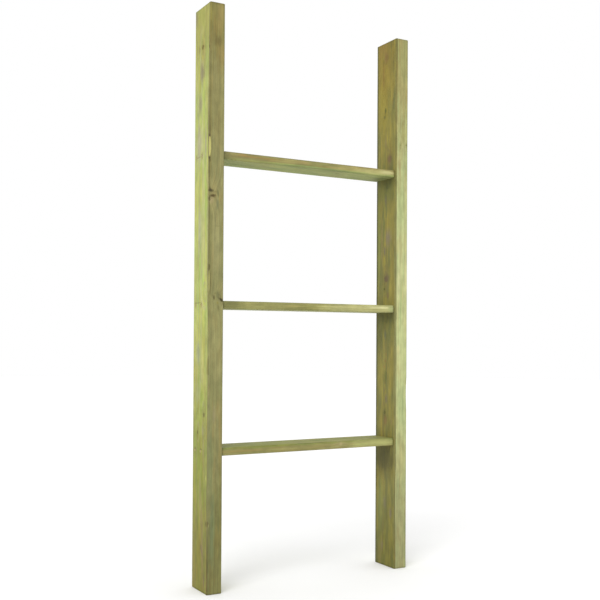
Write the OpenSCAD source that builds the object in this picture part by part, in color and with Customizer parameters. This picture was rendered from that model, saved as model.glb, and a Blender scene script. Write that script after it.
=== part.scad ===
// Rustic blanket ladder: two upright plank rails joined by three flat board rungs.
// Each rung end is held by two screws, driven through the rail into the end of the rung.
// The origin is on the floor under the middle. +X is right, +Y is back and +Z is up.

/* [Rails] */
// Length of each upright rail
rail_length = 1372; // [1250:1:1800]
// Narrow side of a rail, which faces the front
rail_thickness = 38; // [30:1:50]
// Wide side of a rail, from its front to its back
rail_depth = 89; // [85:1:120]
// Radius of the eased long edges of a rail
rail_edge_radius = 3; // [1:0.5:6]

/* [Rungs] */
// Length of each rung, which is also the clear gap between the rails
rung_length = 486; // [350:1:700]
// Thickness of a rung board
rung_thickness = 19; // [16:1:28]
// How far a rung's front edge lies behind the front of the rails
rung_setback = 6; // [0:1:15]
// Radius of the eased long edges of a rung
rung_edge_radius = 2; // [0.5:0.5:4]
// Height of the middle of the bottom rung
bottom_rung_height = 327; // [150:1:450]
// Height of the middle of the middle rung
middle_rung_height = 670; // [550:1:800]
// Height of the middle of the top rung
top_rung_height = 1020; // [900:1:1150]

/* [Screws] */
// Length of a screw, from its head's face to its tip
screw_length = 75; // [65:1:90]
// Diameter of the small flat countersunk head
head_diameter = 6.5; // [6:0.5:10]
// Diameter over the crests of the thread
thread_diameter = 4.5; // [4:0.1:5.5]
// Distance from the front of the rail to the front screw of a joint
front_screw_y = 43; // [25:1:50]
// Distance from the front of the rail to the back screw of a joint
back_screw_y = 75; // [60:1:80]

/* [Hidden] */
$fn = 48;

half_width = rung_length / 2 + rail_thickness;
rail_front = -rail_depth / 2;
rung_depth = rail_depth - rung_setback;
rung_heights = [bottom_rung_height, middle_rung_height, top_rung_height];
screw_offsets = [front_screw_y, back_screw_y];

crest_radius = thread_diameter / 2;
root_radius = crest_radius * 0.68;
thread_pitch = 2.5;
thread_count = 13;
tip_length = 4;
head_rim = 0.5;
head_radius = head_diameter / 2;
head_height = head_rim + head_radius - root_radius;
head_sink = 0.5;        // the head's face lies this far under the rail's face
hole_slack = 0.25;      // added to the radius of the clearance hole in a rail
pilot_slack = 0.05;     // keeps the thread crests clear of the pilot hole's wall
pilot_extra = 1;        // how far the pilot hole runs on past the screw's tip
recess_depth = 1.5;
recess_reach = head_diameter * 0.55;
recess_width = 1.1;

// A rectangle with round corners, its lower left corner at the origin
module eased_section(width, depth, radius) {
    translate([radius, 0]) square([width - 2 * radius, depth]);
    translate([0, radius]) square([width, depth - 2 * radius]);
    for (x = [radius, width - radius], y = [radius, depth - radius])
        translate([x, y]) circle(radius);
}

// Moves a child that points along +X from the left face of the left rail to a screw's place
module at_left_screw(height, offset) {
    translate([-half_width, rail_front + offset, height]) rotate([0, 90, 0]) children();
}

// The clearance hole and countersink that a screw passes through in a rail
module rail_hole() {
    seat = head_radius + hole_slack;
    clearance = crest_radius + hole_slack;
    translate([0, 0, -1]) cylinder(h = rail_thickness + 2, r = clearance);
    translate([0, 0, -1]) cylinder(h = 1 + head_sink + head_rim, r = seat);
    translate([0, 0, head_sink + head_rim])
        cylinder(h = seat - clearance, r1 = seat, r2 = clearance);
}

// The left rail, with two holes at each rung
module rail() {
    difference() {
        translate([-half_width, rail_front, 0])
            linear_extrude(rail_length)
                eased_section(rail_thickness, rail_depth, rail_edge_radius);
        for (height = rung_heights, offset = screw_offsets)
            at_left_screw(height, offset) rail_hole();
    }
}

module left_rail() {
    color("#b9bd74") rail();
}

module right_rail() {
    color("#a59a52") mirror([1, 0, 0]) rail();
}

// The two pilot holes in a rung's left end
module pilot_holes(height) {
    depth = head_sink + screw_length - rail_thickness + pilot_extra;
    for (offset = screw_offsets)
        at_left_screw(height, offset)
            translate([0, 0, rail_thickness - 1])
                cylinder(h = depth + 1, r = crest_radius + pilot_slack);
}

// A flat board between the rails, flush with their backs
module rung(height) {
    color("#b8b078") difference() {
        translate([-rung_length / 2, rail_front + rung_setback, height - rung_thickness / 2])
            rotate([90, 0, 90])
                linear_extrude(rung_length)
                    eased_section(rung_depth, rung_thickness, rung_edge_radius);
        pilot_holes(height);
        mirror([1, 0, 0]) pilot_holes(height);
    }
}

// One ring of the thread, as points of the screw's outline
function thread_ring(start) = [
    [root_radius, start],
    [crest_radius, start + 0.4 * thread_pitch],
    [crest_radius, start + 0.5 * thread_pitch],
    [root_radius, start + 0.9 * thread_pitch]
];

// A countersunk wood screw along +Z, its head's face at the origin
module screw() {
    thread_start = screw_length - tip_length - thread_count * thread_pitch;
    rings = [for (i = [0 : thread_count - 1]) each thread_ring(thread_start + i * thread_pitch)];
    head = [[0, 0], [head_radius, 0], [head_radius, head_rim], [root_radius, head_height]];
    tip = [[root_radius, screw_length - tip_length], [0, screw_length]];
    color("#6f6a58") difference() {
        rotate_extrude() polygon(concat(head, rings, tip));
        for (turn = [0, 90])
            rotate([0, 0, turn])
                cube([recess_width, recess_reach, 2 * recess_depth], center = true);
    }
}

module left_screw(height, offset) {
    at_left_screw(height, offset) translate([0, 0, head_sink]) screw();
}

module right_screw(height, offset) {
    mirror([1, 0, 0]) left_screw(height, offset);
}

left_rail();
right_rail();
rung(bottom_rung_height);  // bottom_rung
rung(middle_rung_height);  // middle_rung
rung(top_rung_height);  // top_rung
left_screw(bottom_rung_height, front_screw_y);  // screw_left_bottom_front
left_screw(bottom_rung_height, back_screw_y);  // screw_left_bottom_back
left_screw(middle_rung_height, front_screw_y);  // screw_left_middle_front
left_screw(middle_rung_height, back_screw_y);  // screw_left_middle_back
left_screw(top_rung_height, front_screw_y);  // screw_left_top_front
left_screw(top_rung_height, back_screw_y);  // screw_left_top_back
right_screw(bottom_rung_height, front_screw_y);  // screw_right_bottom_front
right_screw(bottom_rung_height, back_screw_y);  // screw_right_bottom_back
right_screw(middle_rung_height, front_screw_y);  // screw_right_middle_front
right_screw(middle_rung_height, back_screw_y);  // screw_right_middle_back
right_screw(top_rung_height, front_screw_y);  // screw_right_top_front
right_screw(top_rung_height, back_screw_y);  // screw_right_top_back
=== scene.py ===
"""A rustic blanket ladder of treated softwood, built round its CAD frame.

Each board is worked out in its own millimetres: u across its thickness, v across its
width (the front is negative) and w along its grain. Rails run up, so their u, v and w
are the row's X, Y and Z. Rungs run to the right, so theirs are Z, Y and X.
"""

import math
from contextlib import contextmanager
from dataclasses import dataclass, field

import bmesh
import bpy
from mathutils import Matrix, Vector, noise


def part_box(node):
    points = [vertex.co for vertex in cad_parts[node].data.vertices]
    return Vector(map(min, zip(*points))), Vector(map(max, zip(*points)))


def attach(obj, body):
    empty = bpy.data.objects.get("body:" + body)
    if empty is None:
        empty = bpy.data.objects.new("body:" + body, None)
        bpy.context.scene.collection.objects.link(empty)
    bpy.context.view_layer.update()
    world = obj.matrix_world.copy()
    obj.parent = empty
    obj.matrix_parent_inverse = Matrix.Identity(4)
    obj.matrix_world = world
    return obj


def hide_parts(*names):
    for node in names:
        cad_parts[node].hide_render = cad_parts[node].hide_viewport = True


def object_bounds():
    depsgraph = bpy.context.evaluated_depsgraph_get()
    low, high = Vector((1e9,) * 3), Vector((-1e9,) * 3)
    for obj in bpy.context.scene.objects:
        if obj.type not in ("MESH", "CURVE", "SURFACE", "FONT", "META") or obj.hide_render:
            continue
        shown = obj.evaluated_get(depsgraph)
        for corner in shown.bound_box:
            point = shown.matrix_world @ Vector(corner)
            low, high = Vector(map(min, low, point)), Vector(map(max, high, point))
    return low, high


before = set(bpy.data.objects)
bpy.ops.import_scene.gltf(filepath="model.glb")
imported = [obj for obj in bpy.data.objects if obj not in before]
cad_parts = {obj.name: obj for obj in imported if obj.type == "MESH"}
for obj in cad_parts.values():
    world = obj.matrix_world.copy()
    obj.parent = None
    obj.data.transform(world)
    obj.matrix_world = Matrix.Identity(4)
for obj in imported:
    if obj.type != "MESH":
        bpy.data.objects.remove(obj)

cad_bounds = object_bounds()

MM = 0.001

# Which row axis each board axis is, and each face as its board axis and side
RAIL_AXES = (0, 1, 2)
RUNG_AXES = (2, 1, 0)
FACES = {
    "left": (0, -1), "right": (0, 1),
    "under": (0, -1), "top": (0, 1),
    "front": (1, -1), "back": (1, 1),
}

# The board meshes, in millimetres
SIDE_STEP = 2.6                # between points across a face
SIDE_MARGIN = 0.3              # the closest that a point comes to the rounding of an edge
STATION_STEP = 3.0             # between outlines along the grain
CHIP_STEP = 1.0                # the same, at a chip
CLOSEST_STATIONS = 0.45
END_MARGIN = 0.9               # from an end to its nearest outline
ARC_STEPS = 4                  # points round a long edge, less one
CRACK_REACH = 0.35             # from the middle of a drying crack to its side
CRACK_SHOULDER = 0.7           # from its middle to the points that hold its lip
CAP_SHARES = (0.05, 0.12, 0.25, 0.4, 0.55, 0.7, 0.85)  # how far an end's rings shrink inwards
SMOOTH_ANGLE = 40              # degrees
HOLE_SEGMENTS = 28
WELD_DISTANCE = 0.02

# How deep the surface is worn, in millimetres
RIPPLE_DEPTH = 0.16            # the planer's long waves
FIBRE_DEPTH = 0.07             # the raised grain
SAW_DEPTH = 0.12               # the saw's marks on an end
RUB_DEPTH = 0.45               # the long edges, rubbed in places
PICK_DEPTH = 0.22              # and picked at
WEAR_BAND = 8.0                # how far from a long edge its wear reaches
CHIP_ROUGHNESS = 0.18          # how much a chip's depth varies, as a share of it
BARED_AND_SHADOW_FROM = 0.2               # how much wood is gone where a chip's pale bare wood or painted shadow starts
BARED_AND_SHADOW_FULL = 0.9               # and where it is full

# The relief round a knot: widths as shares of its radius, heights in millimetres
GROOVE_WIDTH = 0.16
GROOVE_DEPTH = 0.3
HOLLOW_GROOVE = 0.6            # added for each millimetre that the knot is hollow
SWELL_WIDTH = 0.8
SWELL_HEIGHT = 0.12

# A drying crack's shape
CRACK_TAPER = 0.7              # a low power, for blunt ends
CRACK_EVENNESS = 0.75          # the rest of its depth varies

# Holes along a screw: distance from the rail's outer face, then radius, in millimetres
RAIL_HOLE = [(-2.0, 3.9), (0.0, 3.8), (0.3, 3.55), (1.0, 3.5), (2.0, 2.5), (40.0, 2.5)]
PILOT_HOLE = [(36.0, 2.3), (76.5, 2.3), (78.0, 0.4)]

# How far in from its face a stain reaches, in millimetres
PATCH_DEPTH = 8.0

# Colours that every board or screw shares
BARED_WOOD = "c5bf70"
# Painted shadow in the cracks and in the dark chips
CLEFT_SHADOW = "493d20"
SCREW_STAIN = "837743"
SCREW_COATING = "ae9a5a"
SCREW_RUBBED = "b3aa88"
SCREW_GRIME = "7d6b38"

# How much brighter than its own colour a board looks under the studio light
LIT_GAIN = 1.2

SUN_FROM = (-0.62, -0.50, 0.60)
SUN_STRENGTH = 1.3
SUN_SPREAD = 35                # degrees, for soft shadows
FLOOR_RADIUS = 12.0
FLOOR_DARK = (0.86, 0.86, 0.86, 1.0)
FLOOR_LIGHT = (0.90, 0.90, 0.90, 1.0)

# The camera, measured from the middle of the rack's foot
CAMERA_PLACE = (-1.147, -2.0155, 0.592)
CAMERA_TURN = 29.35            # degrees from straight ahead towards the right
CAMERA_TILT = 0.58             # degrees up
CAMERA_ROLL = 0.33             # degrees clockwise
CAMERA_LENS = 55.78
CAMERA_RISE = 0.0487           # the view raised, as a share of the picture
SENSOR = 36.0


def srgb(text):
    """A colour written as six hex digits, as the linear colour that nodes take."""
    channels = [int(text[i : i + 2], 16) / 255 for i in (0, 2, 4)]
    linear = [c / 12.92 if c <= 0.04045 else ((c + 0.055) / 1.055) ** 2.4 for c in channels]
    return (*linear, 1.0)


def lit(text):
    """The wood colour that looks like these six hex digits under the studio light."""
    red, green, blue, alpha = srgb(text)
    return (red / LIT_GAIN, green / LIT_GAIN, blue / LIT_GAIN, alpha)


# ---- what the boards are like


@dataclass
class Knot:
    """A branch that meets a face. along and across place it there, as Board.point does."""

    face: str
    along: float
    across: float
    radius: float
    lean: tuple = (0.0, 0.0, 0.0)  # added to the face's outward direction, for a slanting branch
    core: str = "857a4c"
    rim: str = "5b5430"
    strength: float = 0.8
    depth: float = 60.0            # how far it runs in from the face
    hollow: float = 0.0            # how far it has shrunk below the face


@dataclass
class Patch:
    """A soft-edged stain, streak, worn place or painted shadow on a face. One that multiplies
    the wood's colour is painted shade where the light falls off, and stays on its face. Anything else
    covers it and may run over an edge."""

    along: float
    across: float
    length: float
    width: float
    colour: str
    strength: float = 0.6
    turn: float = 0.0              # degrees from the grain towards higher across
    softness: float = 0.8
    falloff_shade: bool = False


@dataclass
class Chip:
    """Wood missing from a long edge: a flat facet that cuts the corner off."""

    corner: tuple                  # the signs of u and v at the edge
    along: float
    length: float
    depth: float
    lean: float = 45.0             # the facet's direction, in degrees from u towards v
    squareness: float = 2.0        # a high value ends it abruptly
    bared_and_shadow: float = 0.5             # how pale the bare wood is; if negative, how dark the shadow painted into the chip


@dataclass
class Check:
    """A drying crack along the grain."""

    face: str
    along: float
    across: float
    length: float
    depth: float = 1.2


@dataclass
class Tones:
    """Two colours that a kind of wood varies between, its latewood and its warm stains."""

    light: str
    deep: str
    late: str
    warm: str


@dataclass
class Board:
    node: str
    axes: tuple
    seed: float
    edge_radius: float
    pith: tuple                    # where the tree's centre is, in u and v
    ring_width: float
    heart_zone: tuple              # the heartwood's middle in u and v, then its reach in u and v
    sap: Tones
    heart: Tones
    knots: list = field(default_factory=list)
    patches: dict = field(default_factory=dict)  # a list for each face
    chips: list = field(default_factory=list)
    checks: list = field(default_factory=list)

    def __post_init__(self):
        self.is_rail = self.axes == RAIL_AXES
        low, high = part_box(self.node)
        self.low = [low[a] / MM for a in self.axes]
        self.size = [(high[a] - low[a]) / MM for a in self.axes]
        self.middle = [self.low[0] + self.size[0] / 2, self.low[1] + self.size[1] / 2, self.low[2]]

    def point(self, face, along, across):
        """The board coordinates of a place on a face. across runs from the front edge, or, on
        the front and back, from the left edge of a rail and the lower edge of a rung."""
        axis, side = FACES[face]
        place = [0.0, 0.0, along]
        place[axis] = side * self.size[axis] / 2
        place[1 - axis] = across - self.size[1 - axis] / 2
        return Vector(place)

    def to_row(self, u, v, w):
        """Board millimetres to row metres."""
        row = [0.0, 0.0, 0.0]
        for axis, value, shift in zip(self.axes, (u, v, w), self.middle):
            row[axis] = (value + shift) * MM
        return Vector(row)


# Long edges, as the signs of u and v, anticlockwise
CORNERS = ((1, 1), (-1, 1), (-1, -1), (1, -1))
LEFT_FRONT, RIGHT_FRONT, RIGHT_BACK = (-1, -1), (1, -1), (1, 1)
LOWER_FRONT, UPPER_FRONT = (-1, -1), (1, -1)

# The stains on each face, with painted shade and shadows among them, in the order that they are painted
LEFT_RAIL_OUTER = [
    # Painted shade where the light falls off towards the foot
    Patch(150, 45, 1060, 400, "cfcaae", 1.0, falloff_shade=True),
    Patch(0, 45, 560, 400, "e9dccf", 1.0, falloff_shade=True),
    Patch(110, 28, 260, 22, "8f7f57"),
    Patch(90, 74, 300, 16, "8f8a3e"),
    Patch(30, 18, 50, 12, "7c6650"),
    Patch(98, 32, 50, 12, "7b6850", 0.7, turn=20),
    Patch(162, 10, 22, 12, "66632f", 0.8),
    Patch(268, 10, 20, 8, "bab868", 0.7),
    Patch(330, 72, 14, 12, "77713c", 0.5),
    Patch(378, 30, 40, 18, "9a966c", 0.7),
    Patch(462, 62, 70, 34, "a0a270"),
    Patch(555, 58, 80, 34, "9fa47c", 0.85),
    Patch(560, 30, 260, 40, "b9b35e", 0.5),
    Patch(527, 6, 56, 8, "847b46", 0.7, softness=0.5),
    Patch(752, 2, 56, 16, "6d6237", 0.85),
    Patch(845, 55, 180, 26, "b2b289", 0.8),
    Patch(1045, 24, 120, 14, "aaa381", 0.8),
    Patch(1050, 60, 140, 44, "b3ae8b", 0.85),
    Patch(1145, 55, 80, 28, "9f9872", 0.85),
    Patch(1215, 45, 66, 42, "938b66", 0.85),
    Patch(1305, 36, 34, 14, "8b8447", 0.5),
    Patch(1275, 62, 30, 12, "8f8449"),
    Patch(1268, 4, 16, 9, "6f6838", 0.8),
    # Painted shade where the light falls off towards the top
    Patch(1372, 40, 460, 300, "e2dbd2", 1.0, falloff_shade=True),
    Patch(1345, 40, 150, 130, "b2ae5c"),
    Patch(1352, 82, 60, 18, "857b58", 0.7),
    # Thin lines across the face where the screws were set out
    Patch(1019, 66, 4, 44, "898550", 0.45, softness=0.5),
    Patch(675, 64, 4, 52, "8a8852", 0.55, softness=0.5),
    Patch(332, 38, 5, 14, "6b6730", 0.7, turn=-4, softness=0.5),
    Patch(329, 74, 5, 14, "6b6730", 0.6, turn=-4, softness=0.5),
    # Grime along the front edge of the outer face
    Patch(1090, 0, 440, 24, "837c45", 0.8, softness=0.6),
    Patch(780, 0, 420, 18, "8a8650", 0.8, softness=0.4),
    Patch(300, 0, 600, 10, "8d8c60", 0.6, softness=0.5),
]

LEFT_RAIL_FRONT = [
    # Painted shade where the light falls off towards the foot
    Patch(0, 19, 900, 300, "d6d9c7", 1.0, falloff_shade=True),
    Patch(150, 12, 260, 18, "747e55", 0.75),
    Patch(300, 8, 260, 20, "808a5b", 0.5),
    Patch(163, 14, 26, 5, "68703f", 0.7),
    Patch(160, 3, 10, 4, "a8a468"),
    Patch(415, 16, 60, 12, "8e8560"),
    Patch(375, 31, 130, 10, "998a53"),
    Patch(600, 20, 400, 40, "97945f", 0.5),
    Patch(665, 36, 16, 5, "b4b07a", 0.7),
    Patch(663, 25, 20, 5, "7d7946", 0.7, turn=-8),
    Patch(674, 23, 10, 9, "89803f", 0.7),
    Patch(692, 22, 34, 16, "76764a", 0.8),
    Patch(686, 14, 16, 7, "5b552e", 0.95),
    Patch(681, 32, 24, 9, "453e1b", 1.0, turn=-52),
    Patch(800, 20, 220, 34, "9e9a68"),
    Patch(852, 20, 4, 22, "7d7b49", 0.4),
    Patch(904, 21, 44, 10, "7d8058", 0.7),
    Patch(928, 22, 30, 9, "706f44", 0.8, turn=-14),
    Patch(912, 6, 28, 17, "a5976a", 0.8),
    Patch(916, 26, 36, 5, "9d8e50", 0.7),
    Patch(922, 9, 11, 24, "54461f", 0.95, turn=-8),
    Patch(934, 2, 12, 26, "453f22", 1.0, turn=6),
    Patch(916, 0, 11, 9, "4b4123", 0.9),
    Patch(1130, 20, 300, 40, "928a55"),
    Patch(1255, 28, 80, 30, "9b8a54", 0.7),
    Patch(1282, 22, 30, 34, "807648", 0.7),
    # Painted shade where the light falls off towards the top
    Patch(1372, 24, 420, 200, "f2ebd0", 1.0, falloff_shade=True),
    Patch(1345, 27, 120, 26, "9c8b54"),
    Patch(700, 38, 3000, 4, "625a34", 0.75, softness=0.6),
    Patch(930, 0, 800, 4.6, "5f5831", 0.75, softness=0.6),
    # Painted shadow in the pockets at both ends of the split on the arris
    Patch(1061, 0, 14, 7, "57482c", 0.9, softness=0.6),
    Patch(1010, 0, 13, 7, "524726", 0.9, softness=0.6),
]

LEFT_RAIL = Board(
    node="left_rail", axes=RAIL_AXES, seed=3.0, edge_radius=3.0,
    pith=(62.0, 2.0), ring_width=4.2, heart_zone=(30.0, -62.0, 60.0, 44.0),
    sap=Tones("bdc267", "adbe62", "b1af7c", "b8ad5a"),
    heart=Tones("98945f", "8a8a56", "867b4e", "9a8a50"),
    knots=[
        Knot("left", 1276, 42, 5, core="80722f", rim="6b6128"),
        Knot("front", 924, 6, 8, lean=(-1.4, 0, -0.25), core="a0955f", rim="857d4a", hollow=0.8),
        Knot("front", 688, 22, 7, lean=(1.2, 0, -0.5), core="8c8655", rim="77713f", depth=12, hollow=0.5),
        Knot("left", 370, 60, 4, core="7a7730", rim="6e6c2c"),
        Knot("left", 413, 23, 5, core="77713a", rim="76713a", strength=0.7),
    ],
    patches={"left": LEFT_RAIL_OUTER, "front": LEFT_RAIL_FRONT},
    chips=[
        Chip(LEFT_FRONT, 1036, 54, 2.5, lean=30, bared_and_shadow=0.8),
        Chip(LEFT_FRONT, 1074, 46, 1.4, lean=40, bared_and_shadow=-0.5),
        Chip(LEFT_FRONT, 1004, 16, 1.4, bared_and_shadow=-0.7),
        Chip(LEFT_FRONT, 937, 14, 1.8, lean=50, bared_and_shadow=-0.7),
        Chip(LEFT_FRONT, 913, 12, 1.8, lean=40, bared_and_shadow=-0.7),
        Chip(LEFT_FRONT, 756, 18, 2.4, lean=35, bared_and_shadow=-0.6),
        Chip(LEFT_FRONT, 722, 60, 1.5, squareness=3, bared_and_shadow=0.3),
        Chip(LEFT_FRONT, 528, 52, 1.4, lean=40, squareness=6, bared_and_shadow=-0.3),
        Chip(LEFT_FRONT, 163, 18, 1.8, bared_and_shadow=-0.5),
        Chip(RIGHT_BACK, 440, 160, 2.6, lean=40, bared_and_shadow=0.3),
    ],
    checks=[
        Check("front", 720, 4, 60, 1.2),
        Check("left", 1310, 26, 90, 0.8),
        Check("back", 300, 20, 220, 1.6),
        Check("right", 1180, 40, 180, 1.4),
    ],
)

RIGHT_RAIL_INNER = [
    # Painted shade where the light falls off towards the foot
    Patch(0, 45, 420, 300, "dadec4", 1.0, falloff_shade=True),
    Patch(30, 66, 120, 30, "80743a"),
    Patch(52, 56, 44, 14, "74684a", 0.7),
    Patch(140, 18, 40, 16, "7a7059", 0.75),
    Patch(165, 45, 50, 18, "7a7058", 0.75),
    Patch(165, 60, 200, 50, "7c8145", 0.5),
    # Painted shadow under the bottom rung
    Patch(282, 50, 130, 240, "5c582c", 0.8),
    Patch(225, 30, 60, 30, "757440", 0.5),
    Patch(380, 42, 44, 22, "8b7040", 0.8),
    Patch(378, 16, 40, 12, "83754a"),
    Patch(440, 25, 170, 22, "978c40", 0.7),
    Patch(436, 40, 40, 18, "776d4c", 0.85),
    Patch(495, 43, 50, 14, "62672b", 0.7),
    Patch(530, 50, 110, 22, "948a44", 0.7),
    Patch(520, 48, 12, 5, "96703a", 0.9, turn=40),
    Patch(535, 45, 12, 5, "96703a", 0.9, turn=40),
    Patch(552, 42, 12, 5, "8f6b3a", 0.8, turn=40),
    Patch(605, 45, 34, 15, "696a52", 0.85),
    # Painted shadow under the middle rung, fading below it
    Patch(652, 45, 66, 260, "5e6030", 0.75),
    Patch(615, 50, 90, 200, "70753a", 0.4),
    Patch(722, 24, 60, 20, "9c9042", 0.8),
    Patch(706, 34, 26, 16, "7b6843", 0.8),
    Patch(752, 40, 30, 34, "6c5c40", 0.7, turn=8),
    Patch(823, 50, 40, 12, "736858", 0.8),
    Patch(858, 34, 70, 40, "80745c", 0.9, softness=1.0),
    Patch(850, 62, 150, 10, "9a8a55", 0.5),
    Patch(957, 45, 40, 14, "776c54", 0.8),
    # Painted shadow under the top rung, fading below it
    Patch(1003, 45, 50, 260, "646532", 0.7),
    Patch(975, 50, 70, 160, "757a3e", 0.5),
    Patch(850, 76, 420, 20, "798443"),
    Patch(1063, 32, 40, 26, "7a6342", 0.7),
    Patch(1108, 48, 40, 16, "867c58", 0.5),
    Patch(1210, 55, 300, 80, "958836", 0.85),
    Patch(1290, 58, 90, 22, "8d703a", 0.8),
    Patch(1320, 50, 260, 130, "99863a", 0.7),
    Patch(1333, 45, 50, 26, "81693c", 0.8),
    Patch(1193, 48, 22, 10, "55581f", 0.9),
    Patch(1176, 52, 12, 9, "62652a", 0.8),
    Patch(1360, 60, 60, 70, "947e40", 0.7),
    # Painted shade where the light falls off towards the top
    Patch(1372, 45, 420, 300, "f2efdc", 1.0, falloff_shade=True),
    Patch(600, 2, 1200, 12, "8a8a5c"),
    Patch(640, 89, 3400, 24, "53562b", 0.9, softness=0.6),
]

RIGHT_RAIL_FRONT = [
    # Painted shade where the light falls off towards the foot
    Patch(0, 19, 900, 300, "d6d1ce", 1.0, falloff_shade=True),
    Patch(275, 22, 140, 40, "b1ae75"),
    Patch(420, 20, 200, 40, "aab87e", 0.7),
    Patch(565, 10, 40, 12, "c8bd84", 0.7),
    Patch(680, 18, 190, 6, "a6b578", 0.9, turn=2),
    Patch(735, 10, 130, 12, "cccb94", 0.85),
    Patch(750, 32, 180, 14, "cfcd92", 0.85),
    Patch(600, 20, 160, 40, "c0c98c", 0.5),
    Patch(930, 20, 200, 34, "b3be82", 0.7),
    Patch(1045, 12, 90, 14, "b9ad76", 0.7),
    Patch(1120, 26, 90, 20, "b0b26f"),
    # Painted shade where the light falls off towards the top
    Patch(1372, 19, 900, 300, "dfd3c2", 1.0, falloff_shade=True),
    Patch(700, 0, 2600, 5, "827e48", 0.8),
    Patch(1200, 0, 500, 12, "827a44", 0.7),
]

RIGHT_RAIL = Board(
    node="right_rail", axes=RAIL_AXES, seed=11.0, edge_radius=3.0,
    pith=(-44.0, 4.0), ring_width=3.8, heart_zone=(-34.0, 0.0, 25.0, 64.0),
    sap=Tones("c4c88c", "b6c286", "b4ad78", "b9b173"),
    heart=Tones("928a40", "777840", "7a6c3a", "a3923d"),
    knots=[
        Knot("left", 1192, 48, 4, core="64652a", rim="565a20", strength=0.9),
        Knot("left", 1181, 50, 4, core="64652a", rim="565a20", strength=0.8),
        Knot("left", 1063, 27, 7, core="75603e", rim="75603e"),
        Knot("left", 991, 38, 6, core="5d602e", rim="505422"),
        Knot("left", 749, 42, 7, core="6d5b42", rim="5f5030"),
        Knot("left", 723, 50, 3, core="585c22", rim="4e521e"),
        Knot("left", 500, 44, 7, core="68692f", rim="5a5d28", strength=0.6),
        Knot("left", 400, 46, 4, core="61621f", rim="55571d", strength=0.7),
        Knot("front", 908, 23, 2, core="87884f", rim="7b7c46"),
        Knot("front", 1097, 33, 2, core="7a7c46", rim="7a7c46"),
        Knot("front", 1095, 15, 2, core="8b8b52", rim="8b8b52", strength=0.6),
    ],
    patches={"left": RIGHT_RAIL_INNER, "front": RIGHT_RAIL_FRONT},
    chips=[
        Chip(RIGHT_FRONT, 450, 90, 1.6, bared_and_shadow=0.2),
        Chip(LEFT_FRONT, 1215, 60, 1.2, bared_and_shadow=0.1),
        Chip(RIGHT_BACK, 800, 120, 3.0, bared_and_shadow=0.3),
    ],
    checks=[
        Check("left", 1275, 60, 120, 0.8),
        Check("right", 500, 50, 260, 1.6),
        Check("back", 900, 16, 160, 1.4),
    ],
)

TOP_RUNG_FRONT = [
    # Darker at the left end and paler to the right: partly the wood's own tone, partly painted shade from
    # the left rail
    Patch(4, 9, 44, 34, "6b6c42", 0.85),
    Patch(60, 10, 260, 30, "8a8250"),
    Patch(70, 12, 130, 5, "a08248", 0.8),
    Patch(50, 15, 40, 5, "a2834b"),
    Patch(125, 12, 60, 5, "9f8447", 0.7),
    Patch(215, 12, 60, 8, "b09a62"),
    Patch(310, 8, 90, 10, "b6a968", 0.7),
    Patch(260, 2, 440, 7, "89935c", 0.85),
    Patch(420, 9, 170, 22, "beb877", 0.8),
    Patch(462, 11, 60, 14, "cdc88c", 0.8),
    Patch(200, 19, 420, 3.6, "5f5a35", 0.85),
    Patch(243, 0, 520, 2, "767c4e"),
]

TOP_RUNG_UNDER = [
    Patch(400, 30, 220, 70, "a3ac62", 0.5),
    Patch(60, 40, 160, 70, "8a9450"),
    # Painted shadow near the right end, where the rung meets the right rail
    Patch(466, 40, 60, 120, "6c7142", 0.5),
]

TOP_RUNG = Board(
    node="top_rung", axes=RUNG_AXES, seed=23.0, edge_radius=2.0,
    pith=(70.0, -8.0), ring_width=4.0, heart_zone=(4.0, -44.0, 8.0, 30.0),
    sap=Tones("a0a960", "8f9f5a", "9b9858", "a49d56"),
    heart=Tones("a49c60", "8f8e55", "8c7f4a", "a68c4a"),
    knots=[Knot("under", 330, 30, 5, core="7e7a50", rim="6a6a42", strength=0.6)],
    patches={"front": TOP_RUNG_FRONT, "under": TOP_RUNG_UNDER},
    chips=[Chip(LOWER_FRONT, 240, 120, 0.9, bared_and_shadow=0.1, squareness=3)],
    checks=[Check("top", 90, 40, 120, 1.0)],
)

MIDDLE_RUNG_FRONT = [
    # Darker at the left end and paler to the right: partly the wood's own tone, partly painted shade from
    # the left rail
    Patch(20, 9, 120, 30, "7b7a48", 0.85),
    Patch(130, 9, 200, 30, "94925a"),
    Patch(190, 10, 90, 5, "b0a564", 0.7),
    Patch(216, 7, 50, 4, "87844c", 0.7),
    Patch(400, 9, 320, 40, "c3c184", 0.8),
    Patch(330, 12, 190, 6, "cbc585", 0.7),
    Patch(400, 7, 190, 4, "aba565", 0.7),
    Patch(440, 12, 110, 9, "dfdb9f", 1.0),
    Patch(478, 9, 28, 26, "a9b175", 0.8),
    Patch(180, 19, 400, 3, "6d6a40", 0.8),
    Patch(200, 0, 430, 3, "68663b", 0.8),
]

MIDDLE_RUNG = Board(
    node="middle_rung", axes=RUNG_AXES, seed=37.0, edge_radius=2.0,
    pith=(-66.0, 6.0), ring_width=3.6, heart_zone=(0.0, -40.0, 8.0, 24.0),
    sap=Tones("b0b070", "9ca668", "a8a16a", "aea366"),
    heart=Tones("a6a363", "959554", "928853", "a29852"),
    knots=[Knot("top", 150, 52, 6, core="7a7048", rim="5c5932", strength=0.7)],
    patches={"front": MIDDLE_RUNG_FRONT},
    chips=[Chip(LOWER_FRONT, 235, 60, 1.0, bared_and_shadow=0.0, squareness=3)],
    checks=[Check("under", 380, 30, 140, 1.0)],
)

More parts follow.
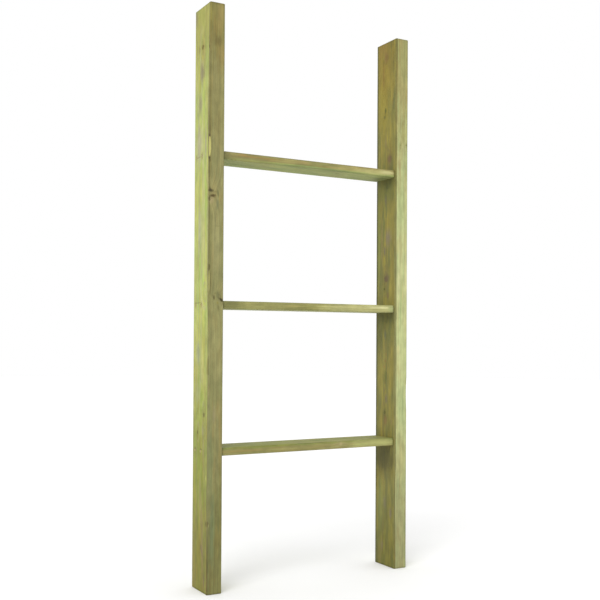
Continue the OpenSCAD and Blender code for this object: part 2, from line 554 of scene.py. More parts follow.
BOTTOM_RUNG_FRONT = [
    # Darker at the left end and paler to the right: partly the wood's own tone, partly painted shade from
    # the left rail
    Patch(60, 9, 200, 8, "93824a", 0.7),
    Patch(210, 9, 160, 20, "9a9258", 0.5),
    Patch(250, 5, 60, 4, "857f46", 0.5),
    Patch(430, 9, 240, 30, "b1b16e", 0.8),
    Patch(385, 8, 70, 8, "a3ab66"),
    Patch(200, 19, 430, 4, "615d33", 0.85),
    Patch(243, 0, 520, 2, "878152"),
]

BOTTOM_RUNG_TOP = [
    Patch(120, 10, 300, 60, "868b3e", 0.7),
    Patch(360, 20, 200, 40, "9a9b56", 0.5),
]

BOTTOM_RUNG = Board(
    node="bottom_rung", axes=RUNG_AXES, seed=51.0, edge_radius=2.0,
    pith=(-58.0, -4.0), ring_width=4.4, heart_zone=(-3.0, -42.0, 8.0, 26.0),
    sap=Tones("93954f", "838c4a", "8f8a4f", "938b49"),
    heart=Tones("98945a", "88874e", "867b48", "97884a"),
    knots=[Knot("front", 327, 12, 4, core="b8a878", rim="a99a6a", strength=0.7)],
    patches={"front": BOTTOM_RUNG_FRONT, "top": BOTTOM_RUNG_TOP},
    chips=[
        Chip(UPPER_FRONT, 170, 60, 1.0, bared_and_shadow=0.1, squareness=3),
        Chip(UPPER_FRONT, 290, 40, 0.8, bared_and_shadow=0.1, squareness=3),
    ],
    checks=[Check("top", 300, 52, 150, 1.0)],
)

BOARDS = [LEFT_RAIL, RIGHT_RAIL, TOP_RUNG, MIDDLE_RUNG, BOTTOM_RUNG]
SCREWS = sorted(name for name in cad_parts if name.startswith("screw_"))


# ---- helpers


def add_object(name, data):
    thing = bpy.data.objects.new(name, data)
    bpy.context.scene.collection.objects.link(thing)
    return thing


@contextmanager
def editing(mesh):
    """The mesh as a bmesh, which is written back at the end."""
    shape = bmesh.new()
    shape.from_mesh(mesh)
    yield shape
    shape.to_mesh(mesh)
    shape.free()


def outward(face):
    axis, side = FACES[face]
    direction = Vector((0, 0, 0))
    direction[axis] = side
    return direction


class Graph:
    """Adds nodes to one tree. Each method returns the output socket of what it adds."""

    def __init__(self, tree):
        self.tree = tree

    def feed(self, socket, value):
        if isinstance(value, bpy.types.NodeSocket):
            self.tree.links.new(value, socket)
        else:
            socket.default_value = value

    def add(self, kind, inputs, output=0, **settings):
        node = self.tree.nodes.new("ShaderNode" + kind)
        for name, value in settings.items():
            setattr(node, name, value)
        for key, value in inputs.items():
            self.feed(node.inputs[key], value)
        return node.outputs[output]

    def math(self, operation, *values):
        return self.add("Math", dict(enumerate(values)), operation=operation)

    def plus(self, a, b):
        return self.math("ADD", a, b)

    def minus(self, a, b):
        return self.math("SUBTRACT", a, b)

    def times(self, a, b):
        return self.math("MULTIPLY", a, b)

    def vector(self, operation, *values):
        return self.add("VectorMath", dict(enumerate(values)), operation=operation)

    def scaled(self, value, factor):
        return self.add("VectorMath", {0: value, "Scale": factor}, operation="SCALE")

    def length(self, value):
        return self.add("VectorMath", {0: value}, output="Value", operation="LENGTH")

    def dot(self, a, b):
        return self.add("VectorMath", {0: a, 1: b}, output="Value", operation="DOT_PRODUCT")

    def parts(self, value):
        node = self.tree.nodes.new("ShaderNodeSeparateXYZ")
        self.feed(node.inputs[0], value)
        return node.outputs

    def joined(self, x, y, z):
        return self.add("CombineXYZ", {0: x, 1: y, 2: z})

    def step(self, value, low, high, to_low=0.0, to_high=1.0):
        """Goes smoothly from to_low to to_high as value goes from low to high."""
        inputs = {"Value": value, "From Min": low, "From Max": high, "To Min": to_low, "To Max": to_high}
        return self.add("MapRange", inputs, interpolation_type="SMOOTHSTEP")

    def noise(self, place, size, detail=3.0, roughness=0.5, output="Fac"):
        """Noise whose lumps are about size millimetres, a (u, v, w) triple."""
        inputs = {
            "Vector": self.vector("DIVIDE", place, size),
            "Scale": 1.0, "Detail": detail, "Roughness": roughness,
        }
        return self.add("TexNoise", inputs, output=output)

    def mix(self, factor, a, b, blend="MIX"):
        inputs = {0: factor, 6: a, 7: b}
        return self.add("Mix", inputs, output=2, data_type="RGBA", blend_type=blend)

    def shade(self, colour, value):
        """colour times a plain number."""
        return self.mix(1.0, colour, self.joined(value, value, value), "MULTIPLY")

    def finish(self, shader):
        target = self.tree.nodes.new("ShaderNodeOutputMaterial")
        self.feed(target.inputs["Surface"], shader)

    def total(self, values):
        result = values[0]
        for value in values[1:]:
            result = self.plus(result, value)
        return result


def new_material(name):
    """A node material with nothing in it yet, and its graph."""
    material = bpy.data.materials.new(name)
    material.use_nodes = True
    material.node_tree.nodes.clear()
    return material, Graph(material.node_tree)


def new_group(name, inputs, outputs):
    """An empty node group with the given sockets. Returns it, its graph and its two end nodes."""
    tree = bpy.data.node_groups.new(name, "ShaderNodeTree")
    for direction, sockets in (("INPUT", inputs), ("OUTPUT", outputs)):
        for label, kind in sockets:
            tree.interface.new_socket(label, in_out=direction, socket_type="NodeSocket" + kind)
    return tree, Graph(tree), tree.nodes.new("NodeGroupInput"), tree.nodes.new("NodeGroupOutput")


def use_group(graph, group, inputs):
    node = graph.tree.nodes.new("ShaderNodeGroup")
    node.node_tree = group
    for label, value in inputs.items():
        graph.feed(node.inputs[label], value)
    return node.outputs


def make_knot_group():
    """A branch through the board: its core, its broken dark rim, the stained wood round it,
    and how far it pushes the growth rings out."""
    group, g, given, out = new_group(
        "Knot",
        [("Place", "Vector"), ("Centre", "Vector"), ("Axis", "Vector")]
        + [("Radius", "Float"), ("Depth", "Float")],
        [("Core", "Float"), ("Rim", "Float"), ("Halo", "Float"), ("Bulge", "Float"), ("Rings", "Float")],
    )
    place, radius = given.outputs["Place"], given.outputs["Radius"]
    axis = given.outputs["Axis"]
    offset = g.vector("SUBTRACT", place, given.outputs["Centre"])
    forward = g.dot(offset, axis)
    side = g.vector("SUBTRACT", offset, g.scaled(axis, forward))
    present = g.step(g.plus(forward, given.outputs["Depth"]), -3.0, 3.0)

    wobble = g.times(g.minus(g.noise(place, (4, 4, 6)), 0.5), 0.9)
    reach = g.plus(g.math("DIVIDE", g.length(side), radius), wobble)
    core = g.step(reach, 1.1, 0.7)
    rim = g.times(g.step(reach, 0.7, 0.98), g.step(reach, 1.3, 1.02))
    broken = g.step(g.noise(place, (6, 6, 5), 2.0), 0.42, 0.56, 0.12, 1.0)
    drawn_out = g.math("DIVIDE", g.length(g.vector("MULTIPLY", side, (1, 1, 0.34))), radius)
    halo = g.step(g.plus(drawn_out, wobble), 2.4, 0.5)
    spread = g.times(drawn_out, 0.62)
    fall = g.math("POWER", math.e, g.times(g.times(spread, spread), -1.0))
    found = {
        "Core": g.times(core, present),
        "Rim": g.times(g.times(rim, broken), present),
        "Halo": g.times(halo, present),
        "Bulge": g.times(fall, g.times(radius, 1.5)),
        "Rings": g.math("SINE", g.times(g.times(reach, radius), 5.2)),
    }
    for label, value in found.items():
        g.feed(out.inputs[label], value)
    return group


def make_patch_group():
    """A ragged ellipsoid of colour. Along, Across and Inward are its three directions, each
    divided by its reach that way."""
    directions = ("Along", "Across", "Inward")
    group, g, given, out = new_group(
        "Patch",
        [("Place", "Vector"), ("Ragged", "Float"), ("Softness", "Float"), ("Centre", "Vector")]
        + [(label, "Vector") for label in directions],
        [("Mask", "Float")],
    )
    offset = g.vector("SUBTRACT", given.outputs["Place"], given.outputs["Centre"])
    inside = g.length(g.joined(*(g.dot(offset, given.outputs[label]) for label in directions)))
    softness = given.outputs["Softness"]
    reach = g.plus(inside, g.times(given.outputs["Ragged"], softness))
    inner = g.minus(1.0, softness)
    g.feed(out.inputs["Mask"], g.step(reach, 1.0, inner))
    return group


KNOT_GROUP = make_knot_group()
PATCH_GROUP = make_patch_group()


# ---- the wood material


def board_place(g, board):
    """The shaded point in board millimetres, and which way its surface faces, as u, v and w."""
    coords = g.tree.nodes.new("ShaderNodeTexCoord")
    row = g.parts(g.scaled(coords.outputs["Object"], 1 / MM))
    turned_place = g.joined(*(row[a] for a in board.axes))
    place = g.vector("SUBTRACT", turned_place, board.middle)
    normal = g.parts(coords.outputs["Normal"])
    return place, g.joined(*(normal[a] for a in board.axes))


def knot_axis(knot):
    return (Vector(knot.lean) + outward(knot.face)).normalized()


def patch_directions(face, patch):
    """The patch's three directions, each divided by its reach that way."""
    axis, _ = FACES[face]
    turn = math.radians(patch.turn)
    grain, cross, inward = Vector((0, 0, 1)), Vector((0, 0, 0)), Vector((0, 0, 0))
    cross[1 - axis] = 1
    inward[axis] = 1 / min(PATCH_DEPTH, patch.width)
    along = (grain * math.cos(turn) + cross * math.sin(turn)) / (patch.length / 2)
    across = (cross * math.cos(turn) - grain * math.sin(turn)) / (patch.width / 2)
    return along, across, inward


def growth_rings(g, board, place, seeded, bulges):
    """How much of the shaded point is latewood, from 0 to 1, and a random tone for its ring."""
    warp = g.noise(seeded, (95, 95, 620), 2.0, output="Color")
    warp = g.scaled(g.vector("SUBTRACT", warp, (0.5, 0.5, 0.5)), 26.0)
    wander = g.vector("ADD", g.vector("SUBTRACT", place, (*board.pith, 0.0)), warp)
    radius = g.length(g.vector("MULTIPLY", wander, (1, 1, 0)))
    wobble = g.times(g.noise(seeded, (16, 16, 130), 3.0), 3.0)
    pushed = g.minus(g.plus(radius, wobble), g.total(bulges))
    rings = g.math("DIVIDE", pushed, board.ring_width)
    phase = g.math("FRACT", rings)
    late = g.times(g.step(phase, 0.35, 0.86), g.step(phase, 1.0, 0.93))
    tone = g.add("TexWhiteNoise", {"W": g.math("FLOOR", rings)}, noise_dimensions="1D")
    return late, tone


def heart_share(g, board, place, seeded):
    """1 in the heartwood and 0 in the sapwood, with a wandering edge between."""
    u, v, reach_u, reach_v = board.heart_zone
    offset = g.vector("SUBTRACT", place, (u, v, 0.0))
    inside = g.length(g.vector("MULTIPLY", offset, (1 / reach_u, 1 / reach_v, 0.0)))
    edge = g.times(g.minus(g.noise(seeded, (30, 30, 260), 4.0), 0.5), 0.24)
    return g.step(g.plus(inside, edge), 1.04, 0.96)


def toned(g, tones, blotch, warm, late):
    colour = g.mix(blotch, lit(tones.light), lit(tones.deep))
    colour = g.mix(warm, colour, lit(tones.warm))
    return g.mix(late, colour, lit(tones.late))


def bare_wood(g, board, place, seeded, late, ring_tone):
    """The board's colour before knots, stains and wear, and the tone that its grain gives it."""
    blotch = g.step(g.noise(seeded, (26, 26, 110), 3.0), 0.38, 0.62)
    mottle = g.noise(g.vector("ADD", seeded, (900, 0, 0)), (13, 13, 32), 4.0, 0.55)
    streak = g.noise(seeded, (3.2, 3.2, 160), 4.0, 0.6)
    fibre = g.noise(seeded, (0.5, 0.5, 22), 3.0, 0.7)
    warm = g.step(g.noise(g.vector("ADD", seeded, (0, 900, 0)), (8, 8, 75), 3.0), 0.48, 0.68, 0.0, 0.55)

    sap = toned(g, board.sap, blotch, warm, g.times(late, 0.62))
    heart = toned(g, board.heart, blotch, warm, g.times(late, 0.5))
    colour = g.mix(heart_share(g, board, place, seeded), sap, heart)
    tone = g.total([
        g.step(ring_tone, 0.0, 1.0, 0.95, 1.04),
        g.step(mottle, 0.3, 0.7, -0.11, 0.10),
        g.step(streak, 0.25, 0.75, -0.10, 0.09),
        g.step(fibre, 0.25, 0.75, -0.07, 0.07),
    ])
    return colour, tone, streak, fibre


def add_patch(g, board, place, normal, ragged, face, patch, colour):
    along, across, inward = patch_directions(face, patch)
    mask = use_group(g, PATCH_GROUP, {
        "Place": place, "Ragged": ragged, "Softness": patch.softness,
        "Centre": board.point(face, patch.along, patch.across),
        "Along": along, "Across": across, "Inward": inward,
    })[0]
    share = g.times(mask, patch.strength)
    if not patch.falloff_shade:
        return g.mix(share, colour, lit(patch.colour))
    # Painted shade where the light falls off, multiplied into the wood's colour on its own face only
    share = g.times(share, g.step(g.dot(normal, outward(face)), 0.4, 0.8))
    return g.mix(share, colour, srgb(patch.colour), "MULTIPLY")


def add_patches(g, board, place, normal, seeded, colour):
    lumps = g.minus(g.noise(seeded, (5, 5, 40), 4.0, 0.6), 0.5)
    specks = g.minus(g.noise(seeded, (1.2, 1.2, 6), 4.0, 0.65), 0.5)
    ragged = g.plus(lumps, g.times(specks, 0.9))
    for face, patches in board.patches.items():
        for patch in patches:
            colour = add_patch(g, board, place, normal, ragged, face, patch, colour)
    return colour


def add_knots(g, found, colour):
    """found holds each knot with its group's outputs."""
    for knot, out in found:
        colour = g.mix(g.times(out["Halo"], 0.4 * knot.strength), colour, lit(knot.core))
        core = g.mix(g.step(out["Rings"], -1.0, 1.0, 0.0, 0.3), lit(knot.core), lit(knot.rim))
        colour = g.mix(g.times(out["Core"], knot.strength), colour, core)
        colour = g.mix(g.times(out["Rim"], knot.strength), colour, lit(knot.rim))
    return colour


def screw_marks(g, board, place, colour):
    """Faintly stained wood round each screw in a rail."""
    side = board.node.split("_")[0]
    for name in SCREWS:
        if not board.is_rail or f"_{side}_" not in name:
            continue
        low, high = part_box(name)
        across = (low.y + high.y) / 2 / MM - board.low[1]
        centre = board.point(side, (low.z + high.z) / 2 / MM, across)
        offset = g.vector("SUBTRACT", place, centre)
        away = g.length(g.vector("MULTIPLY", offset, (0.5, 1.0, 0.5)))
        colour = g.mix(g.step(away, 6.0, 2.5, 0.0, 0.4), colour, lit(SCREW_STAIN))
    return colour


def add_wear(g, board, place, seeded, end_normal, late, colour):
    """Darker long edges, bare wood and painted shadow in the chips and cracks, darker sawn ends, and
    darker wood within a few millimetres of them.
    """
    u, v, w = g.parts(place)
    from_side = [
        g.minus(extent / 2, g.math("ABSOLUTE", value))
        for extent, value in zip(board.size, (u, v))
    ]
    to_edge = g.math("MAXIMUM", *from_side)
    rub = g.noise(seeded, (8, 8, 40), 3.0)
    edge = g.times(g.step(to_edge, 4.0, 0.5), g.step(rub, 0.35, 0.7, 0.0, 0.8))
    colour = g.mix(edge, colour, g.shade(colour, 0.78))

    bared_and_shadow = g.add("Attribute", {}, output="Fac", attribute_name="bared_and_shadow")
    colour = g.mix(g.math("MAXIMUM", bared_and_shadow, 0.0), colour, lit(BARED_WOOD))
    # Negative values are painted shadow in the cracks and the dark chips
    shadowed = g.math("MAXIMUM", g.times(bared_and_shadow, -1.0), 0.0)
    colour = g.mix(shadowed, colour, lit(CLEFT_SHADOW))

    end = g.step(end_normal, 0.5, 0.8)
    sawn = g.step(g.noise(seeded, (3, 3, 3), 4.0), 0.3, 0.7, 0.76, 0.92)
    ringed = g.minus(sawn, g.times(late, 0.28))
    colour = g.mix(end, colour, g.shade(colour, ringed))

    near_end = g.math("MINIMUM", w, g.minus(board.size[2], w))
    # Darker within a few millimetres of each end
    end_band = g.plus(near_end, g.times(rub, 8.0))
    end_band = g.plus(end_band, g.times(end, 6.0))
    return g.shade(colour, g.step(end_band, 3.0, 10.0, 0.66, 1.0)), end


def wood_material(board):
    material, g = new_material(board.node + "_treated_pine")
    place, normal = board_place(g, board)
    end_normal = g.math("ABSOLUTE", g.dot(normal, (0, 0, 1)))
    seeded = g.vector("ADD", place, (board.seed * 61, board.seed * 37, board.seed * 173))
    found = []
    for knot in board.knots:
        out = use_group(g, KNOT_GROUP, {
            "Place": place, "Radius": knot.radius, "Depth": knot.depth, "Axis": knot_axis(knot),
            "Centre": board.point(knot.face, knot.along, knot.across),
        })
        found.append((knot, out))

    late, ring_tone = growth_rings(g, board, place, seeded, [out["Bulge"] for _, out in found])
    colour, tone, streak, fibre = bare_wood(g, board, place, seeded, late, ring_tone)
    colour = add_knots(g, found, colour)
    colour = add_patches(g, board, place, normal, seeded, colour)
    colour = g.shade(colour, tone)
    colour = screw_marks(g, board, place, colour)
    colour, end = add_wear(g, board, place, seeded, end_normal, late, colour)

    height = g.total([
        g.times(late, 0.30),
        g.times(fibre, 0.45),
        g.times(streak, 0.55),
        g.times(g.noise(seeded, (0.9, 0.9, 9), 2.0), 0.25),
        g.times(end, g.noise(seeded, (1.2, 7, 1.2), 3.0)),
    ])
    bump = g.add("Bump", {"Height": height, "Strength": 0.9, "Distance": 0.35 * MM}, output="Normal")
    roughness = g.total([
        g.step(streak, 0.2, 0.8, 0.66, 0.80),
        g.times(late, -0.08),
        g.times(end, 0.12),
    ])
    shader = g.add("BsdfPrincipled", {
        "Base Color": colour, "Roughness": roughness, "Normal": bump, "Specular IOR Level": 0.3,
    })
    g.finish(shader)
    return material


# ---- the board meshes


def side_stops(board, quarter, length):
    """Distances along one straight side of the outline, closer together at a check."""
    steps = max(1, round(length / SIDE_STEP))
    stops = {length * i / steps for i in range(1, steps)}
    face_axis, face_side = ((1, 1), (0, -1), (1, -1), (0, 1))[quarter]
    for check in board.checks:
        if FACES[check.face] != (face_axis, face_side):
            continue
        # Sides 0 and 1 run towards lower u and v, and sides 2 and 3 run back
        across = check.across - board.edge_radius
        start = length - across if quarter in (0, 1) else across
        stops |= {start - CRACK_SHOULDER, start, start + CRACK_SHOULDER}
    return sorted(s for s in stops if SIDE_MARGIN < s < length - SIDE_MARGIN)


def outline(board):
    """The cross-section's outline, anticlockwise: each point as (u, v, outward u, outward v)."""
    r = board.edge_radius
    reach = (board.size[0] / 2 - r, board.size[1] / 2 - r)
    points = []
    for quarter, (sign_u, sign_v) in enumerate(CORNERS):
        for i in range(ARC_STEPS + 1):
            angle = (quarter + i / ARC_STEPS) * math.pi / 2
            du, dv = math.cos(angle), math.sin(angle)
            points.append((sign_u * reach[0] + r * du, sign_v * reach[1] + r * dv, du, dv))
        last = Vector(points[-1][:2])
        next_u, next_v = CORNERS[(quarter + 1) % 4]
        target = Vector((next_u * reach[0] + r * du, next_v * reach[1] + r * dv))
        length = (target - last).length
        for stop in side_stops(board, quarter, length):
            at = last.lerp(target, stop / length)
            points.append((at.x, at.y, du, dv))
    return points


def stations(board):
    """Distances along the grain at which the outline is repeated, closer together at a chip."""
    length = board.size[2]
    first, last = END_MARGIN, length - END_MARGIN
    count = round(length / STATION_STEP)
    stops = {round(length * i / count, 2) for i in range(1, count)} | {first, last}
    for chip in board.chips:
        reach = 1.2 * chip.length
        low = chip.along - reach / 2
        stops |= {round(low + i * CHIP_STEP, 2) for i in range(int(reach / CHIP_STEP))}
    tidy = []
    for stop in sorted(s for s in stops if first <= s <= last):
        if not tidy or stop - tidy[-1] > CLOSEST_STATIONS:
            tidy.append(stop)
    return tidy


def chip_profile(chip, w, seed):
    """How much of a chip's depth is gone at w, from 0 to 1."""
    t = abs(w - chip.along) / (chip.length / 2)
    if t >= 1:
        return 0.0
    rough = CHIP_ROUGHNESS * noise.noise((w / 3.0, seed, chip.along))
    return max(0.0, 1 - t**chip.squareness) * (1 + rough)


def clip_corner(u, v, sign, half, lean, depth):
    """Moves a point back onto the facet that cuts a corner off. Returns it and how far it moved."""
    mu, mv = sign[0] * math.cos(lean), sign[1] * math.sin(lean)
    limit = half[0] * abs(mu) + half[1] * abs(mv) - depth
    past = u * mu + v * mv - limit
    if past <= 0:
        return u, v, 0.0
    return u - mu * past, v - mv * past, past


def worn(board, u, v, w):
    """The point after edge wear and chips, and the chip's colour there: positive for pale bare wood,
    negative for painted shadow.
    """
    half = (board.size[0] / 2, board.size[1] / 2)
    bared_and_shadow = 0.0
    for sign in CORNERS:
        if u * sign[0] < half[0] - WEAR_BAND or v * sign[1] < half[1] - WEAR_BAND:
            continue
        rounding = board.edge_radius * (math.sqrt(2) - 1)
        rub = noise.noise((w / 45, board.seed + sign[0] * 3.1, sign[1] * 5.3))
        pick = noise.noise((w / 6, board.seed - sign[0] * 7.7, sign[1] * 2.9))
        depth = rounding + RUB_DEPTH * max(0.0, rub) + PICK_DEPTH * max(0.0, pick)
        u, v, _ = clip_corner(u, v, sign, half, math.pi / 4, depth)
        for chip in board.chips:
            if chip.corner != sign:
                continue
            share = chip_profile(chip, w, board.seed)
            lean = math.radians(chip.lean)
            sharp = board.edge_radius * (math.cos(lean) + math.sin(lean) - 1)
            u, v, moved = clip_corner(u, v, sign, half, lean, sharp + chip.depth * share)
            if share > 0 and moved > BARED_AND_SHADOW_FROM:
                bared_and_shadow = chip.bared_and_shadow * min(1.0, moved / BARED_AND_SHADOW_FULL)
    return u, v, bared_and_shadow


def relief(board, u, v, w, du, dv):
    """How far the surface lies inside the planed outline, and how deep in a cleft it is."""
    seed = board.seed
    depth = RIPPLE_DEPTH * (1 + noise.noise((u / 55 + seed, v / 55, w / 170)))
    depth += FIBRE_DEPTH * (1 + noise.noise((u / 4 + seed, v / 4, w / 130)))
    cleft = 0.0
    here = Vector((u, v, w))
    for knot in board.knots:
        if abs(w - knot.along) > 5 * knot.radius:
            continue
        axis = knot_axis(knot)
        offset = here - board.point(knot.face, knot.along, knot.across)
        side = offset - axis * offset.dot(axis)
        near = Vector((side.x, side.y, 0.8 * side.z)).length / knot.radius
        if near < 1.0:
            depth += knot.hollow * (1 - near**2)
        groove = max(0.0, 1 - abs(near - 1.0) / GROOVE_WIDTH)
        depth += (GROOVE_DEPTH + HOLLOW_GROOVE * knot.hollow) * groove
        if near > 1.0:
            depth -= SWELL_HEIGHT * max(0.0, 1 - (near - 1.0) / SWELL_WIDTH)
    for check in board.checks:
        axis, side = FACES[check.face]
        if abs((du, dv)[axis] - side) > 0.01:
            continue
        gap = abs((v, u)[axis] + board.size[1 - axis] / 2 - check.across)
        t = abs(w - check.along) / (check.length / 2)
        if gap < CRACK_REACH and t < 1:
            uneven = (1 - CRACK_EVENNESS) * noise.noise((w / 9, seed, check.across))
            open_here = (1 - t * t) ** CRACK_TAPER * (CRACK_EVENNESS + uneven)
            depth += check.depth * open_here
            cleft = max(cleft, open_here)
    return max(0.0, depth), cleft


def cap_rings(board, ring, end_seed):
    """Rings that close one end: its ring shrunk step by step towards the section's middle line,
    as points (u, v, how far the saw cut in)."""
    spare = board.size[1] / 2 - board.size[0] / 2
    rings = []
    for share in CAP_SHARES:
        points = []
        for u, v, _ in ring:
            middle_v = max(-spare, min(spare, v))
            at = Vector((u, v)).lerp(Vector((0.0, middle_v)), share)
            saw = SAW_DEPTH * (1 + noise.noise((at.x / 2.5, at.y / 14, board.seed + end_seed)))
            points.append((at.x, at.y, saw))
        rings.append(points)
    return rings


def split_caps(mesh):
    """Divides the many-sided faces in the middle of both ends into even triangles."""
    with editing(mesh) as shape:
        caps = [face for face in shape.faces if len(face.verts) > 4]
        bmesh.ops.triangulate(shape, faces=caps, ngon_method="BEAUTY")


def tube_faces(rings, columns):
    """The faces of a tube of so many rings of points, closed at both ends."""
    faces = []
    for low in range(0, (rings - 1) * columns, columns):
        high = low + columns
        for j in range(columns):
            k = (j + 1) % columns
            faces.append((low + j, low + k, high + k, high + j))
    faces.append(tuple(reversed(range(columns))))
    faces.append(tuple(range((rings - 1) * columns, rings * columns)))
    return faces


def build_board(board):
    """The board's mesh, closed at both ends, with its bare wood, and the shadow painted into its chips
    and cracks, as a vertex attribute.
    """
    section = outline(board)
    length = board.size[2]
    rings, bared_and_shadow = [], []
    for w in stations(board):
        ring = []
        for u, v, du, dv in section:
            inward, deep = relief(board, u, v, w, du, dv)
            worn_u, worn_v, colour = worn(board, u - du * inward, v - dv * inward, w)
            ring.append((worn_u, worn_v, w))
            # A crack's depth is kept as a negative value, which paints shadow into it
            bared_and_shadow.append(-deep if deep else colour)
        rings.append(ring)
    start = cap_rings(board, rings[0], 0.0)
    finish = [[(u, v, length - saw) for u, v, saw in r] for r in cap_rings(board, rings[-1], 9.0)]
    rings = start[::-1] + rings + finish
    columns = len(section)
    bared_and_shadow = [0.0] * (columns * len(start)) + bared_and_shadow + [0.0] * (columns * len(finish))

    points = [board.to_row(*point) for ring in rings for point in ring]
    faces = tube_faces(len(rings), columns)
    if not board.is_rail:
        faces = [tuple(reversed(face)) for face in faces]

    mesh = bpy.data.meshes.new(board.node + "_board")
    mesh.from_pydata(points, [], faces)
    mesh.attributes.new("bared_and_shadow", "FLOAT", "POINT").data.foreach_set("value", bared_and_shadow)
    split_caps(mesh)
    return mesh


def turned(name, start, direction, profile):
    """A closed turned solid along direction from start. profile is (distance, radius) in mm."""
    along = Vector(direction)
    side = along.orthogonal().normalized()
    up = along.cross(side)
    points = []
    for distance, radius in profile:
        for j in range(HOLE_SEGMENTS):
            angle = 2 * math.pi * j / HOLE_SEGMENTS
            ragged = 1 + 0.04 * noise.noise((3 * math.cos(angle), 3 * math.sin(angle), start[2] * 90))
            spoke = side * math.cos(angle) + up * math.sin(angle)
            points.append(Vector(start) + (along * distance + spoke * radius * ragged) * MM)
    mesh = bpy.data.meshes.new(name)
    mesh.from_pydata(points, [], tube_faces(len(profile), HOLE_SEGMENTS))
    return mesh


def screw_holes(board):
    """One mesh of every hole that the screws need in this board."""
    place = board.node.split("_")[0]
    profile = RAIL_HOLE if board.is_rail else PILOT_HOLE
    mesh = bpy.data.meshes.new(board.node + "_holes")
    with editing(mesh) as together:
        for name in SCREWS:
            if f"_{place}_" not in name:
                continue
            low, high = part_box(name)
            middle = (low + high) / 2
            from_left = "left" in name
            face_x = cad_bounds[0][0] if from_left else cad_bounds[1][0]
            direction = (1, 0, 0) if from_left else (-1, 0, 0)
            hole = turned(name + "_hole", (face_x, middle.y, middle.z), direction, profile)
            together.from_mesh(hole)
        bmesh.ops.recalc_face_normals(together, faces=together.faces)
    return mesh


def weld(mesh):
    """Takes out the slivers that cutting leaves, and keeps the mesh closed."""
    with editing(mesh) as shape:
        bmesh.ops.remove_doubles(shape, verts=shape.verts, dist=WELD_DISTANCE * MM)
        bmesh.ops.dissolve_degenerate(shape, edges=shape.edges, dist=WELD_DISTANCE * MM)


def drilled(piece, cutter_mesh):
    """Cuts the holes out of the piece's mesh and keeps the result as a plain mesh."""
    cutter = add_object(piece.name + "_cutter", cutter_mesh)
    cut = piece.modifiers.new("holes", "BOOLEAN")
    cut.operation = "DIFFERENCE"
    cut.solver = "MANIFOLD"
    cut.object = cutter
    graph = bpy.context.evaluated_depsgraph_get()
    result = bpy.data.meshes.new_from_object(piece.evaluated_get(graph), depsgraph=graph)
    weld(result)
    piece.modifiers.clear()
    piece.data = result
    bpy.data.objects.remove(cutter)


def make_board(board):
    piece = add_object(board.node + "_wood", build_board(board))
    drilled(piece, screw_holes(board))
    piece.data.polygons.foreach_set("use_smooth", [True] * len(piece.data.polygons))
    piece.data.set_sharp_from_angle(angle=math.radians(SMOOTH_ANGLE))
    piece.data.materials.clear()
    piece.data.materials.append(wood_material(board))
    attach(piece, "root")
    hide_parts(board.node)


# ---- the screws


def screw_material():
    """Tan outdoor coating, rubbed paler in places, with grime."""
    material, g = new_material("coated_screw")
    coords = g.tree.nodes.new("ShaderNodeTexCoord")
    place = g.scaled(coords.outputs["Object"], 1 / MM)
    rub = g.step(g.noise(place, (1.6, 1.6, 1.6), 4.0, 0.6), 0.42, 0.62)
    grime = g.step(g.noise(place, (0.7, 0.7, 0.7), 3.0), 0.45, 0.7)
    colour = g.mix(rub, srgb(SCREW_COATING), srgb(SCREW_RUBBED))
    colour = g.mix(g.times(grime, 0.5), colour, srgb(SCREW_GRIME))
    bump = g.add("Bump", {"Height": grime, "Strength": 0.5, "Distance": 0.08 * MM}, output="Normal")
    shader = g.add("BsdfPrincipled", {
        "Base Color": colour, "Metallic": 0.2, "Normal": bump,
        "Roughness": g.step(rub, 0.0, 1.0, 0.62, 0.42),
    })
    g.finish(shader)
    return material


def dress_screws():
    material = screw_material()
    for name in SCREWS:
        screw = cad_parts[name]
        screw.data.materials.clear()
        screw.data.materials.append(material)


# ---- floor, light and camera


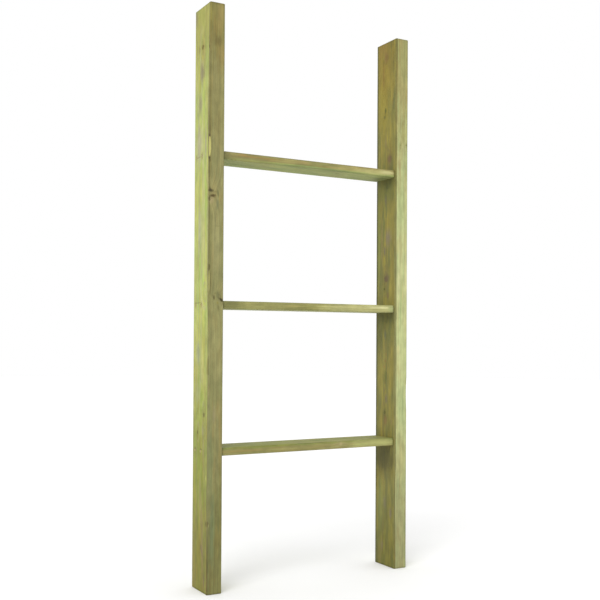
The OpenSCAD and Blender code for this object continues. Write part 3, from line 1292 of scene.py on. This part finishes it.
def add_camera():
    data = bpy.data.cameras.new("camera")
    data.sensor_width = SENSOR
    data.lens = CAMERA_LENS
    data.shift_y = CAMERA_RISE
    camera = add_object("camera", data)
    turn, tilt, roll = (math.radians(a) for a in (CAMERA_TURN, CAMERA_TILT, CAMERA_ROLL))
    ahead = Vector((math.sin(turn) * math.cos(tilt), math.cos(turn) * math.cos(tilt), math.sin(tilt)))
    level = Vector((math.cos(turn), -math.sin(turn), 0))
    upward = level.cross(ahead)
    right = level * math.cos(roll) + upward * math.sin(roll)
    above = upward * math.cos(roll) - level * math.sin(roll)
    axes = Matrix((right, above, -ahead)).transposed().to_4x4()
    camera.matrix_world = Matrix.Translation(CAMERA_PLACE) @ axes
    bpy.context.scene.camera = camera


def add_sun():
    data = bpy.data.lights.new("soft_sun", "SUN")
    data.energy = SUN_STRENGTH
    data.angle = math.radians(SUN_SPREAD)
    light = add_object("soft_sun", data)
    light.rotation_euler = Vector(SUN_FROM).to_track_quat("Z", "Y").to_euler()


def add_world():
    world = bpy.data.worlds.new("studio")
    world.use_nodes = True
    background = world.node_tree.nodes["Background"]
    background.inputs["Color"].default_value = (1, 1, 1, 1)
    background.inputs["Strength"].default_value = 1.0
    bpy.context.scene.world = world


def add_floor():
    """A round pale floor, a little mottled so that it isn't a flat colour."""
    mesh = bpy.data.meshes.new("floor")
    with editing(mesh) as shape:
        bmesh.ops.create_circle(shape, cap_ends=True, radius=FLOOR_RADIUS, segments=96)
    material, g = new_material("pale_floor")
    coords = g.tree.nodes.new("ShaderNodeTexCoord")
    mottle = g.noise(coords.outputs["Object"], (0.4, 0.4, 0.4), 3.0)
    colour = g.mix(mottle, FLOOR_DARK, FLOOR_LIGHT)
    shader = g.add("BsdfPrincipled", {"Base Color": colour, "Roughness": 0.85, "Specular IOR Level": 0.1})
    g.finish(shader)
    mesh.materials.append(material)
    add_object("floor", mesh)


bpy.context.scene.view_settings.view_transform = "Standard"
add_world()
add_floor()
add_sun()
add_camera()
for each_board in BOARDS:
    make_board(each_board)
dress_screws()
